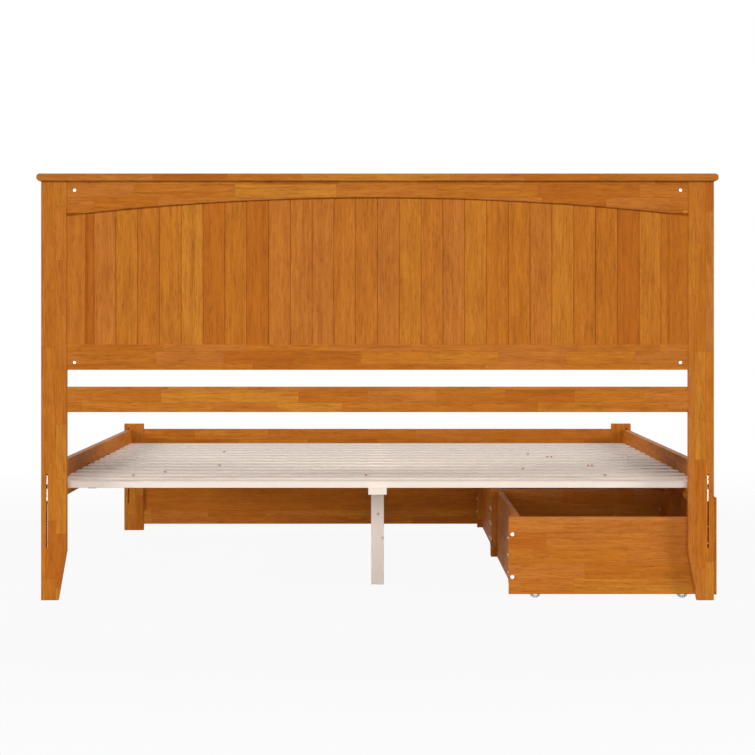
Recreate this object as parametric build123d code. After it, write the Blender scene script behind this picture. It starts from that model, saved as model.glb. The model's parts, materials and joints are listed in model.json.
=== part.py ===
"""King-size platform bed with two rolling drawers under its left side.

Millimetres, +Z up. The origin is on the floor, in the middle of the bed's outline.
+Y points to the headboard, and left and right are those of somebody facing it from the foot.
"""

import math
import os

from build123d import *

# Driving dimensions: overall
BED_HALF_WIDTH = 996.0  # outer face of the posts
BED_HALF_LENGTH = 1056.0  # back edge of the cap to the outer face of the foot posts
POST_WIDTH = 76.0
POST_DEPTH = 22.0
INNER_LENGTH = 2060.0  # between head and foot posts, for a mattress 2032 long

# Driving dimensions: headboard, heights above the floor
CAP_TOP = 1263.0
CAP_THICKNESS = 22.0
CAP_HALF_LENGTH = 1009.0
CAP_BACK_OVERHANG = 8.0
CAP_FRONT_OVERHANG = 12.0
ARCH_CROWN = 1192.0
ARCH_SPRING = 1145.0
ARCH_RADIUS = 8000.0
STILE_WIDTH = 54.0
LOWER_RAIL = (682.0, 757.0)
CROSSBAR = (557.0, 632.0)
PANEL_RAIL_THICKNESS = 18.0
PANEL_RAIL_INSET = 2.0  # behind the posts' faces
ARCH_EASE = 3.0  # rounded lower edges of the arched rail
PLANK_THICKNESS = 8.0
PLANK_RECESS = 5.0  # behind the rails' outer faces
PLANK_PITCH = 64.6
PLANK_COUNT = 28
PLANK_IN_GROOVE = 8.0
PLANK_CHAMFER = 1.0
TONGUE = (2.6, 5.0)  # thickness and length
TONGUE_PLAY = 0.2
TAPER_HEIGHT = 147.0
TAPER_INSET = 25.5

# Driving dimensions: footboard, heights above the floor
FOOT_POST_TOP = 419.0
FOOT_TOP_RAIL = (323.0, 398.0)
FOOT_BOTTOM_RAIL = (25.0, 79.0)

# Driving dimensions: side rails and mattress deck
RAIL_THICKNESS = 22.0
RAIL_OUTSET = 6.5  # rail's outer face inside the posts' outer face
RAIL = (285.0, 395.0)
SLAT_COUNT = 14
SLAT_WIDTH = 70.0
SLAT_THICKNESS = 19.0
SLAT_TOP = 346.0
SLAT_END_GAP = 53.0  # from the first slat to the posts
SLAT_SIDE_PLAY = 1.5
LEDGER = (22.0, 30.0)  # width and height
LEDGER_SCREWS = 8
LEDGER_SCREW_FROM_END = 85.0
BEAM = (55.0, 20.0)
BEAM_END_GAP = 40.0
LEG_SIDE = 40.0
LEG_FROM_END = 375.0
STRAP = (25.0, 1.5)
STRAP_X = 855.0

# Driving dimensions: hook joints between rails and posts
SLOT_WIDTH = 4.0
HEAD_SLOT_MIDDLE = 265.0
HEAD_SLOT_HALF_LENGTH = 138.0
SAW_RADIUS = 203.0  # the head posts' slots are plunged with a saw blade and break out at the back
FOOT_SLOT = (107.0, 404.0)
FOOT_SLOT_DEPTH = 18.0
HOOK_PLATE = 3.5
HOOK_REACH = 17.0
HOOK_LET_IN = 50.0
HOOKS = ((343.0, 369.0), (293.0, 329.0))
HOOK_NOTCH = (6.0, 12.0, 8.0)  # from, to, height
PIN_RADIUS = 2.5
PIN_LENGTH = 36.0
PIN_SKIN = 3.0  # wood left outside a pin's end
RAIL_SETTING_DROP = 131.0  # a second, lower set of pins

# Driving dimensions: drawers
DRAWER_GAP = 4.0
FRONT_THICKNESS = 18.0
FRONT = (13.5, 302.5)
FRONT_PLAY = 0.5
PULL_WIDTH = 130.0
PULL_DEPTH = 48.0
PULL_CORNER = 22.0
SIDE_INSET = 8.0
SIDE_THICKNESS = 18.0
BOX = (14.0, 243.5)
BOX_INNER_END = 391.0
BLOCK = 20.0
BACK_BLOCK = (47.0, 210.0)  # outside the box, behind its back panel
FRONT_BLOCK = (70.0, 210.0)  # inside the box, standing on its bottom
BACK_THICKNESS = 16.0
BOTTOM = (64.0, 70.0)
BOTTOM_IN_GROOVE = 6.0
BATTEN_WIDTH = 46.0
WHEEL_RADIUS = 17.5
WHEEL_WIDTH = 16.0
AXLE_RADIUS = 3.0
AXLE_PLAY = 0.05
CASTER_TOP = 47.0
CASTER_SHEET = 2.0
CASTER_PLATE = (44.0, 24.0)
CASTER_SIDE_PLAY = 1.0
CASTER_EAR = (14.0, 9.0)  # half width at the plate and round the axle
TREAD_ROUND = 3.0
CASTER_X = (471.0, 910.0)
CASTER_FROM_SIDE = 14.0

# Driving dimensions: fasteners
BOLT_RADIUS = 3.0
BOLT_HEAD = (6.0, 4.0)  # radius and height
BOLT_Z = (1214.0, 704.0)
NUT_RADIUS = 5.0
NUT_LENGTH = 14.0
NUT_FROM_POST = 23.0
BACK_BOLT_Z = (65.0, 192.0)
FRONT_BOLT_Z = (88.0, 192.0)
BACK_SCREW_Z = (77.0, 128.0, 179.0)
FRONT_SCREW_Z = (101.0, 140.0, 179.0)
DRAWER_BOLT_LENGTH = 34.0
DRAWER_SCREW_LENGTH = 32.0
LEDGER_SCREW_LENGTH = 35.0
SLAT_SCREW_LENGTH = 42.0
LEG_SCREW_LENGTH = 60.0
SCREW_RADIUS = 2.0
SCREW_HEAD = (4.0, 2.6)  # countersunk: radius and height
PAN_HEAD = (4.0, 2.4)  # radius and height
DOWEL = (4.0, 40.0)  # radius and length
FIT = 0.1  # drilled holes are this much larger in radius

EASE = 2.0  # rounded edge of a finished board
SMALL_EASE = 1.2

# Places worked out from the driving dimensions
HEAD_BACK = BED_HALF_LENGTH - CAP_BACK_OVERHANG
HEAD_FRONT = HEAD_BACK - POST_DEPTH
FOOT_FRONT = HEAD_FRONT - INNER_LENGTH
FOOT_BACK = FOOT_FRONT - POST_DEPTH
POST_INNER = BED_HALF_WIDTH - POST_WIDTH
STILE_INNER = POST_INNER - STILE_WIDTH
PANEL_RAIL_BACK = HEAD_BACK - PANEL_RAIL_INSET
PANEL_RAIL_FRONT = PANEL_RAIL_BACK - PANEL_RAIL_THICKNESS
PLANK_BACK = PANEL_RAIL_BACK - PLANK_RECESS
PLANK_FRONT = PLANK_BACK - PLANK_THICKNESS
ARCH_CENTRE = ARCH_CROWN - ARCH_RADIUS
RAIL_OUTER = BED_HALF_WIDTH - RAIL_OUTSET
RAIL_INNER = RAIL_OUTER - RAIL_THICKNESS
RAIL_MIDDLE = (RAIL_OUTER + RAIL_INNER) / 2
SLAT_BOTTOM = SLAT_TOP - SLAT_THICKNESS
BEAM_BOTTOM = SLAT_BOTTOM - BEAM[1]
FRONT_INNER = RAIL_OUTER + FRONT_PLAY
FRONT_OUTER = FRONT_INNER + FRONT_THICKNESS
BACK_OUTER = BOX_INNER_END + BLOCK
BACK_INNER = BACK_OUTER + BACK_THICKNESS
DRAWER_LENGTH = (INNER_LENGTH - 3 * DRAWER_GAP) / 2

nodes = {}


def box(x, y, z, ease=0.0):
    """A block between pairs of coordinates, with its edges eased."""
    size = [high - low for low, high in (sorted(x), sorted(y), sorted(z))]
    block = Pos(sum(x) / 2, sum(y) / 2, sum(z) / 2) * Box(*size)
    if ease:
        block = fillet(block.edges(), ease)
    return block


def prism_y(outline, y):
    """An outline drawn in X and Z, made solid between two values of Y."""
    low, high = sorted(y)
    return Pos(0, high, 0) * extrude(Plane.XZ * outline, high - low)


def prism_x(outline, x):
    """An outline drawn in Y and Z, made solid between two values of X."""
    low, high = sorted(x)
    return Pos(low, 0, 0) * extrude(Plane.YZ * outline, high - low)


def rod(start, end, radius):
    """A round rod between two points."""
    start, end = Vector(*start), Vector(*end)
    along = end - start
    return Plane(start, z_dir=along) * Cylinder(
        radius, along.length, align=(Align.CENTER, Align.CENTER, Align.MIN)
    )


def headed(point, way, length, shank, head, play=0.0):
    """A pan-headed bolt: its head stands on point, its shank runs along way."""
    point, way = Vector(*point), Vector(*way).normalized()
    tail = point + way * (length + play)
    top = point - way * head[1]
    return rod(point, tail, shank + play) + rod(top, point, head[0] + play)


def countersunk(point, way, length, play=0.0):
    """A wood screw whose flat head is flush with point, pointing along way."""
    outline = Polyline(
        (0, 0),
        (SCREW_HEAD[0] + play, 0),
        (SCREW_RADIUS + play, SCREW_HEAD[1]),
        (SCREW_RADIUS + play, length - SCREW_HEAD[1]),
        (0, length + play),
        close=True,
    )
    turned = revolve(Plane.XZ * make_face(outline), Axis.Z)
    return Plane(Vector(*point), z_dir=Vector(*way)) * turned


def drill(board, cutters):
    """A board with every cutter taken out of it."""
    for cutter in cutters:
        board = board - cutter
    return board


def mirrored(solids):
    """The same solids on the other side of the bed."""
    return [mirror(solid, Plane.YZ) for solid in solids]


def plank_region():
    """The space that the planks fill, with what of it lies in the grooves round them."""
    half = STILE_INNER + PLANK_IN_GROOVE
    radius = ARCH_RADIUS + PLANK_IN_GROOVE
    low = LOWER_RAIL[1] - PLANK_IN_GROOVE
    spring = ARCH_CENTRE + math.sqrt(radius**2 - half**2)
    sides = Polyline((half, spring), (half, low), (-half, low), (-half, spring))
    arc = ThreePointArc((-half, spring), (0, ARCH_CENTRE + radius), (half, spring))
    return prism_y(make_face([sides, arc]), (PLANK_FRONT, PLANK_BACK))


def head_slot():
    """The saw's plunge cut that takes a rail's hooks in a head post."""
    y = HEAD_FRONT - math.sqrt(SAW_RADIUS**2 - HEAD_SLOT_HALF_LENGTH**2)
    start = (RAIL_MIDDLE - SLOT_WIDTH / 2, y, HEAD_SLOT_MIDDLE)
    end = (RAIL_MIDDLE + SLOT_WIDTH / 2, y, HEAD_SLOT_MIDDLE)
    return rod(start, end, SAW_RADIUS)


def foot_slot():
    """The blind slot that takes a rail's hooks in a foot post."""
    return box(
        (RAIL_MIDDLE - SLOT_WIDTH / 2, RAIL_MIDDLE + SLOT_WIDTH / 2),
        (FOOT_FRONT - FOOT_SLOT_DEPTH, FOOT_FRONT),
        FOOT_SLOT,
    )


def pin_rods(radius):
    """The pins across the slots on the right side, for both rail settings."""
    reach = (HOOK_NOTCH[0] + HOOK_NOTCH[1]) / 2
    x = (BED_HALF_WIDTH - PIN_SKIN - PIN_LENGTH, BED_HALF_WIDTH - PIN_SKIN)
    rods = []
    for y in (HEAD_FRONT + reach, FOOT_FRONT - reach):
        for low, _ in HOOKS:
            for drop in (0, RAIL_SETTING_DROP):
                z = low + HOOK_NOTCH[2] - PIN_RADIUS - 2 * FIT - drop
                rods.append(rod((x[0], y, z), (x[1], y, z), radius))
    return rods


def dowel_rods(radius, play):
    """Glue dowels on the right side: crossbar, footboard rails and the headboard stiles."""
    half = DOWEL[1] / 2 + play
    panel_y = (PANEL_RAIL_FRONT + PANEL_RAIL_BACK) / 2
    foot_y = FOOT_FRONT - PANEL_RAIL_INSET - PANEL_RAIL_THICKNESS / 2
    rods = []
    for y, rail in ((panel_y, CROSSBAR), (foot_y, FOOT_TOP_RAIL), (foot_y, FOOT_BOTTOM_RAIL)):
        for share in (0.25, 0.75):
            z = rail[0] + share * (rail[1] - rail[0])
            rods.append(rod((POST_INNER - half, y, z), (POST_INNER + half, y, z), radius))
    x = POST_INNER - STILE_WIDTH / 2
    for z in (LOWER_RAIL[1], ARCH_SPRING):
        rods.append(rod((x, panel_y, z - half), (x, panel_y, z + half), radius))
    return rods


def post_bolts(play):
    """Bolts on the right side, through a head post into the panel's rails."""
    y = (PANEL_RAIL_FRONT + PANEL_RAIL_BACK) / 2
    seat = BED_HALF_WIDTH - BOLT_HEAD[1]
    length = seat - POST_INNER + NUT_FROM_POST + 2 * NUT_RADIUS
    return [headed((seat, y, z), (-1, 0, 0), length, BOLT_RADIUS, BOLT_HEAD, play) for z in BOLT_Z]


def barrel_nuts(play):
    """Barrel nuts on the right side, let in flush from the back of the panel's rails."""
    x = POST_INNER - NUT_FROM_POST
    inner = PANEL_RAIL_BACK - NUT_LENGTH - 2 * play
    return [rod((x, inner, z), (x, PANEL_RAIL_BACK, z), NUT_RADIUS + play) for z in BOLT_Z]


def make_headboard():
    outline = Polyline(
        (POST_INNER, CAP_TOP - CAP_THICKNESS),
        (BED_HALF_WIDTH, CAP_TOP - CAP_THICKNESS),
        (BED_HALF_WIDTH, 0),
        (POST_INNER + TAPER_INSET, 0),
        (POST_INNER, TAPER_HEIGHT),
        close=True,
    )
    post = prism_y(make_face(outline), (HEAD_FRONT, HEAD_BACK))
    post = fillet(post.edges().filter_by(Axis.Y, reverse=True), EASE)
    dowel_holes = dowel_rods(DOWEL[0] + FIT, FIT)
    bolt_holes = post_bolts(FIT)
    post = drill(post, [head_slot(), *pin_rods(PIN_RADIUS + FIT), *dowel_holes, *bolt_holes])
    nodes["headboard_right_post"] = [post]
    nodes["headboard_left_post"] = mirrored([post])

    cap = box(
        (-CAP_HALF_LENGTH, CAP_HALF_LENGTH),
        (HEAD_FRONT - CAP_FRONT_OVERHANG, HEAD_BACK + CAP_BACK_OVERHANG),
        (CAP_TOP - CAP_THICKNESS, CAP_TOP),
    )
    bullnose = CAP_THICKNESS / 2 - 1
    cap = fillet(cap.edges().filter_by(Axis.Z).sort_by(Axis.Y)[:2], bullnose + 1)
    flat_back = cap.faces().sort_by(Axis.Y)[-1].edges()
    cap = fillet(cap.edges().filter_by(Axis.Z, reverse=True) - flat_back, bullnose)
    cap = fillet(cap.faces().sort_by(Axis.Y)[-1].edges(), EASE)
    nodes["headboard_cap"] = [cap]

    region = plank_region()
    both_sides = [*dowel_holes, *mirrored(dowel_holes)]
    rail_bolts = [*bolt_holes, *barrel_nuts(FIT)]
    rail_bolts = [*rail_bolts, *mirrored(rail_bolts)]
    top = CAP_TOP - CAP_THICKNESS
    straight = Polyline(
        (STILE_INNER, ARCH_SPRING),
        (POST_INNER, ARCH_SPRING),
        (POST_INNER, top),
        (-POST_INNER, top),
        (-POST_INNER, ARCH_SPRING),
        (-STILE_INNER, ARCH_SPRING),
    )
    arc = ThreePointArc((-STILE_INNER, ARCH_SPRING), (0, ARCH_CROWN), (STILE_INNER, ARCH_SPRING))
    panel_y = (PANEL_RAIL_FRONT, PANEL_RAIL_BACK)
    arched = prism_y(make_face([straight, arc]), panel_y)
    arched = fillet(arch_edges(arched), ARCH_EASE)
    nodes["headboard_arched_rail"] = [drill(arched, [region, *both_sides, *rail_bolts])]
    span = (-POST_INNER, POST_INNER)
    lower = box(span, panel_y, LOWER_RAIL)
    nodes["headboard_lower_rail"] = [drill(lower, [region, *both_sides, *rail_bolts])]
    crossbar = box(span, panel_y, CROSSBAR)
    crossbar = fillet(crossbar.edges().filter_by(Axis.X), EASE)
    nodes["headboard_crossbar"] = [drill(crossbar, both_sides)]
    stile = box((STILE_INNER, POST_INNER), panel_y, (LOWER_RAIL[1], ARCH_SPRING))
    stile = drill(stile, [region, *dowel_holes])
    nodes["headboard_right_stile"] = [stile]
    nodes["headboard_left_stile"] = mirrored([stile])

    make_planks(region)
    bolts = with_sockets(post_bolts(0))
    nodes["post_bolts"] = [*bolts, *mirrored(bolts)]
    nuts = [drill(nut, post_bolts(FIT)) for nut in barrel_nuts(0)]
    nodes["barrel_nuts"] = [*nuts, *mirrored(nuts)]
    dowels = dowel_rods(DOWEL[0], 0)
    nodes["glue_dowels"] = [*dowels, *mirrored(dowels)]


def arch_edges(rail):
    """The lower edges of the arched rail's two faces, over the planks and the stiles."""
    lower = [edge for edge in rail.edges() if edge.center().Z < ARCH_CROWN]
    return [edge for edge in lower if edge.bounding_box().size.X > STILE_WIDTH / 2]


def with_sockets(bolts):
    """Bolts along X whose heads have a round socket for the key."""
    socket = BOLT_HEAD[0] / 2
    sunk = []
    for bolt in bolts:
        head = bolt.faces().sort_by(Axis.X)[-1].center()
        sunk.append(bolt - rod((head.X - BOLT_HEAD[1] / 2, head.Y, head.Z), head, socket))
    return sunk


def make_planks(region):
    """Tongued and grooved planks, trimmed to the arch. The two end planks are ripped narrow."""
    half = STILE_INNER + PLANK_IN_GROOVE
    inner_half = PLANK_PITCH * (PLANK_COUNT - 2) / 2
    edges = [-half, *(i * PLANK_PITCH - inner_half for i in range(PLANK_COUNT - 1)), half]
    middle = (PLANK_FRONT + PLANK_BACK) / 2
    planks = []
    for number, (low, high) in enumerate(zip(edges, edges[1:])):
        tongue = 0 if number == PLANK_COUNT - 1 else TONGUE[1]
        groove = 0 if number == 0 else TONGUE[1] + TONGUE_PLAY
        planks.append(region & plank_blank(low, high, middle, tongue, groove))
    nodes["headboard_planks"] = planks


def plank_blank(low, high, middle, tongue, groove):
    """One plank before it is cut to length, with a V between it and the next on both faces."""
    front, back, v = PLANK_FRONT, PLANK_BACK, PLANK_CHAMFER
    thick = TONGUE[0] / 2
    wide = thick + TONGUE_PLAY / 2
    right = [(high, front + v)]
    if tongue:
        right += [(high, middle - thick), (high + tongue, middle - thick)]
        right += [(high + tongue, middle + thick), (high, middle + thick)]
    left = [(low, back - v)]
    if groove:
        left += [(low, middle + wide), (low + groove, middle + wide)]
        left += [(low + groove, middle - wide), (low, middle - wide)]
    ends = [(low, front + v), (low + v, front), (high - v, front)]
    outline = Polyline(*ends, *right, (high, back - v), (high - v, back), (low + v, back), *left, close=True)
    return Pos(0, 0, LOWER_RAIL[0]) * extrude(make_face(outline), CAP_TOP - LOWER_RAIL[0])


def make_footboard():
    post = box((POST_INNER, BED_HALF_WIDTH), (FOOT_BACK, FOOT_FRONT), (0, FOOT_POST_TOP), EASE)
    dowel_holes = dowel_rods(DOWEL[0] + FIT, FIT)
    post = drill(post, [foot_slot(), *pin_rods(PIN_RADIUS + FIT), *dowel_holes])
    nodes["footboard_right_post"] = [post]
    nodes["footboard_left_post"] = mirrored([post])
    front = FOOT_FRONT - PANEL_RAIL_INSET
    rail_y = (front - PANEL_RAIL_THICKNESS, front)
    both_sides = [*dowel_holes, *mirrored(dowel_holes)]
    middle = front - PANEL_RAIL_THICKNESS / 2
    panel = box(
        (-POST_INNER, POST_INNER),
        (middle - PLANK_THICKNESS / 2, middle + PLANK_THICKNESS / 2),
        (FOOT_BOTTOM_RAIL[1] - PLANK_IN_GROOVE, FOOT_TOP_RAIL[0] + PLANK_IN_GROOVE),
    )
    nodes["footboard_panel"] = [panel]
    for name, z in (("top", FOOT_TOP_RAIL), ("bottom", FOOT_BOTTOM_RAIL)):
        rail = box((-POST_INNER, POST_INNER), rail_y, z)
        rail = fillet(rail.edges().filter_by(Axis.X), EASE)
        nodes[f"footboard_{name}_rail"] = [drill(rail, [panel, *both_sides])]
    pins = pin_rods(PIN_RADIUS)
    nodes["hook_pins"] = [*pins, *mirrored(pins)]


def hook_plate(end, way):
    """One hook plate, let into a rail whose end is at Y = end. The hooks point along way."""
    tail = end - way * HOOK_LET_IN
    tip = end + way * HOOK_REACH
    plate = box((0, HOOK_PLATE), (tail, end), (HOOKS[1][0], HOOKS[0][1]))
    notch_y = (end + way * HOOK_NOTCH[0], end + way * HOOK_NOTCH[1])
    for low, high in HOOKS:
        plate += box((0, HOOK_PLATE), (end, tip), (low, high))
        plate -= box((0, HOOK_PLATE), notch_y, (low, low + HOOK_NOTCH[2]))
    return Pos(RAIL_MIDDLE - HOOK_PLATE / 2, 0, 0) * plate


def ledger_screws(play):
    """Screws on the right side, through the ledger into the rail."""
    ledger_inner = RAIL_INNER - LEDGER[0]
    z = SLAT_BOTTOM - LEDGER[1] / 2
    screws = []
    pitch = (INNER_LENGTH - 2 * LEDGER_SCREW_FROM_END) / (LEDGER_SCREWS - 1)
    for number in range(LEDGER_SCREWS):
        y = FOOT_FRONT + LEDGER_SCREW_FROM_END + number * pitch
        screws.append(countersunk((ledger_inner, y, z), (1, 0, 0), LEDGER_SCREW_LENGTH, play))
    return screws


def slat_places():
    """The Y of each slat's middle, from the head to the foot."""
    first = HEAD_FRONT - SLAT_END_GAP - SLAT_WIDTH / 2
    pitch = (INNER_LENGTH - 2 * SLAT_END_GAP - SLAT_WIDTH) / (SLAT_COUNT - 1)
    return [first - i * pitch for i in range(SLAT_COUNT)]


def slat_screws(play):
    """Screws on the right side that hold the two end slats to the ledger."""
    x = RAIL_INNER - LEDGER[0] / 2
    places = slat_places()
    ends = (places[0], places[-1])
    return [countersunk((x, y, SLAT_TOP), (0, 0, -1), SLAT_SCREW_LENGTH, play) for y in ends]


def leg_places():
    """The Y of the three legs under the middle beam."""
    return (HEAD_FRONT - LEG_FROM_END, (HEAD_FRONT + FOOT_FRONT) / 2, FOOT_FRONT + LEG_FROM_END)


def leg_screws(play):
    """Screws down through the beam into each leg."""
    return [countersunk((0, y, SLAT_BOTTOM), (0, 0, -1), LEG_SCREW_LENGTH, play) for y in leg_places()]


def make_deck():
    plates = [hook_plate(HEAD_FRONT, 1), hook_plate(FOOT_FRONT, -1)]
    rail = box((RAIL_INNER, RAIL_OUTER), (FOOT_FRONT, HEAD_FRONT), RAIL)
    rail = fillet(rail.edges().filter_by(Axis.Y), EASE)
    rail = drill(rail, [*plates, *ledger_screws(FIT)])
    nodes["right_side_rail"] = [rail]
    nodes["left_side_rail"] = mirrored([rail])
    nodes["rail_hook_plates"] = [*plates, *mirrored(plates)]

    ledger = box(
        (RAIL_INNER - LEDGER[0], RAIL_INNER),
        (FOOT_FRONT + SLAT_END_GAP / 2, HEAD_FRONT - SLAT_END_GAP / 2),
        (SLAT_BOTTOM - LEDGER[1], SLAT_BOTTOM),
    )
    ledger = drill(ledger, [*ledger_screws(FIT), *slat_screws(FIT)])
    nodes["right_slat_ledger"] = [ledger]
    nodes["left_slat_ledger"] = mirrored([ledger])

    half = RAIL_INNER - SLAT_SIDE_PLAY
    holes = [*slat_screws(FIT), *mirrored(slat_screws(FIT))]
    slats = []
    for y in slat_places():
        width = (y - SLAT_WIDTH / 2, y + SLAT_WIDTH / 2)
        slat = box((-half, half), width, (SLAT_BOTTOM, SLAT_TOP), SMALL_EASE)
        slats.append(drill(slat, holes) if y in (slat_places()[0], slat_places()[-1]) else slat)
    nodes["slats"] = slats
    straps = []
    ends = (slat_places()[-1] - SLAT_WIDTH / 2, slat_places()[0] + SLAT_WIDTH / 2)
    for x in (-STRAP_X, STRAP_X):
        across = (x - STRAP[0] / 2, x + STRAP[0] / 2)
        straps.append(box(across, ends, (SLAT_BOTTOM - STRAP[1], SLAT_BOTTOM)))
    nodes["slat_straps"] = straps

    beam = box(
        (-BEAM[0] / 2, BEAM[0] / 2),
        (FOOT_FRONT + BEAM_END_GAP, HEAD_FRONT - BEAM_END_GAP),
        (BEAM_BOTTOM, SLAT_BOTTOM),
        SMALL_EASE,
    )
    nodes["middle_beam"] = [drill(beam, leg_screws(FIT))]
    side = (-LEG_SIDE / 2, LEG_SIDE / 2)
    for name, y in zip(("head", "middle", "foot"), leg_places()):
        leg = box(side, (y + side[0], y + side[1]), (0, BEAM_BOTTOM), SMALL_EASE)
        nodes[f"{name}_support_leg"] = [drill(leg, leg_screws(FIT))]
    one_side = [*ledger_screws(0), *slat_screws(0)]
    nodes["frame_screws"] = [*one_side, *mirrored(one_side), *leg_screws(0)]


def make_drawer(name, head_end):
    """One drawer, made on the left side. Its end nearest the headboard is at Y = head_end."""
    foot_end = head_end - DRAWER_LENGTH
    middle = (head_end + foot_end) / 2
    outer_y = {"head": head_end - SIDE_INSET, "foot": foot_end + SIDE_INSET}
    inward = {"head": -1, "foot": 1}
    inner_y = {end: outer_y[end] + inward[end] * SIDE_THICKNESS for end in outer_y}
    block_middle = {end: inner_y[end] + inward[end] * BLOCK / 2 for end in outer_y}

    def bolts(play):
        made = []
        rows = ((-FRONT_INNER + BLOCK / 2, FRONT_BOLT_Z), (-BOX_INNER_END - BLOCK / 2, BACK_BOLT_Z))
        for end, way in inward.items():
            for x, heights in rows:
                for z in heights:
                    head = (x, outer_y[end], z)
                    made.append(headed(head, (0, way, 0), DRAWER_BOLT_LENGTH, BOLT_RADIUS, BOLT_HEAD, play))
        return made

    def screws(play):
        made = []
        rows = ((-FRONT_INNER + BLOCK, FRONT_SCREW_Z), (-BOX_INNER_END, BACK_SCREW_Z))
        for end in inward:
            for x, heights in rows:
                for z in heights:
                    head = (x, block_middle[end], z)
                    made.append(headed(head, (-1, 0, 0), DRAWER_SCREW_LENGTH, SCREW_RADIUS, PAN_HEAD, play))
        return made

    bottom = box(
        (-FRONT_INNER - BOTTOM_IN_GROOVE, -BACK_INNER + BOTTOM_IN_GROOVE),
        (inner_y["head"] + BOTTOM_IN_GROOVE, inner_y["foot"] - BOTTOM_IN_GROOVE),
        BOTTOM,
    )
    nodes[f"{name}_bottom"] = [bottom]
    bolt_holes, screw_holes = bolts(FIT), screws(FIT)

    front = box((-FRONT_OUTER, -FRONT_INNER), (foot_end, head_end), FRONT, EASE)
    pull = Pos(middle, FRONT[1]) * RectangleRounded(PULL_WIDTH, 2 * PULL_DEPTH, PULL_CORNER)
    front = front - prism_x(pull, (-FRONT_OUTER - 1, -FRONT_INNER + 1))
    nodes[f"{name}_front"] = [drill(front, [bottom, *screw_holes])]
    for end in inward:
        side = box((-FRONT_INNER, -BOX_INNER_END), (outer_y[end], inner_y[end]), BOX)
        side = fillet(side.edges().filter_by(Axis.X), SMALL_EASE)
        nodes[f"{name}_{end}_side"] = [drill(side, [bottom, *bolt_holes])]
    back = box((-BACK_INNER, -BACK_OUTER), (inner_y["head"], inner_y["foot"]), BOX)
    back = fillet(back.edges().filter_by(Axis.Y), SMALL_EASE)
    nodes[f"{name}_back"] = [drill(back, [bottom, *screw_holes])]

    blocks = []
    for end in inward:
        y = (inner_y[end], inner_y[end] + inward[end] * BLOCK)
        blocks.append(box((-BACK_OUTER, -BOX_INNER_END), y, BACK_BLOCK))
        blocks.append(box((-FRONT_INNER, -FRONT_INNER + BLOCK), y, FRONT_BLOCK))
    nodes[f"{name}_corner_blocks"] = [drill(block, [*bolt_holes, *screw_holes]) for block in blocks]
    nodes[f"{name}_bolts"] = bolts(0)
    nodes[f"{name}_screws"] = screws(0)

    battens = []
    batten_y = {end: inner_y[end] + inward[end] * BATTEN_WIDTH / 2 for end in inward}
    for y in (batten_y["head"], middle, batten_y["foot"]):
        across = (y - BATTEN_WIDTH / 2, y + BATTEN_WIDTH / 2)
        battens.append(box((-FRONT_INNER, -BACK_INNER), across, (CASTER_TOP, BOTTOM[0])))
    nodes[f"{name}_battens"] = battens
    make_casters(name, {end: inner_y[end] + inward[end] * CASTER_FROM_SIDE for end in inward})


def make_casters(name, rows):
    """Four fixed castors: a folded housing, an axle and a wheel each."""
    housings, axles = [], []
    for end, y in rows.items():
        for place, x in zip(("back", "front"), CASTER_X):
            housings.append(caster_housing(-x, y))
            reach = WHEEL_WIDTH / 2 + CASTER_SIDE_PLAY + CASTER_SHEET
            axles.append(rod((-x, y - reach, WHEEL_RADIUS), (-x, y + reach, WHEEL_RADIUS), AXLE_RADIUS))
            nodes[f"{name}_{place}_{end}_wheel"] = [caster_wheel(-x, y)]
    nodes[f"{name}_caster_housings"] = housings
    nodes[f"{name}_caster_axles"] = axles


def caster_housing(x, y):
    """A steel plate with two cheeks that hold the axle."""
    along, across = CASTER_PLATE
    plate_low = CASTER_TOP - CASTER_SHEET
    housing = box((x - along / 2, x + along / 2), (y - across / 2, y + across / 2), (plate_low, CASTER_TOP))
    half, nose = CASTER_EAR
    left = ((x - half, plate_low), (x - nose, WHEEL_RADIUS))
    right = ((x + nose, WHEEL_RADIUS), (x + half, plate_low))
    outline = Polyline(*left, *right, close=True)
    ear = make_face(outline) + Pos(x, WHEEL_RADIUS) * Circle(nose)
    gap = WHEEL_WIDTH / 2 + CASTER_SIDE_PLAY
    for side in (-1, 1):
        housing += prism_y(ear, (y + side * gap, y + side * (gap + CASTER_SHEET)))
    return housing - rod((x, y - across, WHEEL_RADIUS), (x, y + across, WHEEL_RADIUS), AXLE_RADIUS)


def caster_wheel(x, y):
    """A wheel with a rounded tread and a bore that runs on the axle."""
    half = WHEEL_WIDTH / 2
    wheel = rod((x, y - half, WHEEL_RADIUS), (x, y + half, WHEEL_RADIUS), WHEEL_RADIUS)
    wheel = fillet(wheel.edges().filter_by(GeomType.CIRCLE), TREAD_ROUND)
    bore = AXLE_RADIUS + AXLE_PLAY
    return wheel - rod((x, y - half - 1, WHEEL_RADIUS), (x, y + half + 1, WHEEL_RADIUS), bore)


def export():
    os.makedirs("parts", exist_ok=True)
    for name, solids in nodes.items():
        shape = solids[0] if len(solids) == 1 else Compound(children=list(solids))
        export_step(shape, os.path.join("parts", f"{name}.step"))
    print(len(nodes), "nodes")


make_headboard()
make_footboard()
make_deck()
make_drawer("head_drawer", HEAD_FRONT - DRAWER_GAP)
make_drawer("foot_drawer", HEAD_FRONT - 2 * DRAWER_GAP - DRAWER_LENGTH)
export()
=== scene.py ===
"""Looks of a king-size platform bed with two rolling drawers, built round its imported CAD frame.

Metres, +Z up, +Y towards the headboard. The boards keep their CAD shapes and get their finishes here.
Fasteners, castor wheels and webbing straps are modelled again with the detail that shows close up.
"""

import json
import math

import bmesh
import bpy
from mathutils import Matrix, Vector


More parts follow.
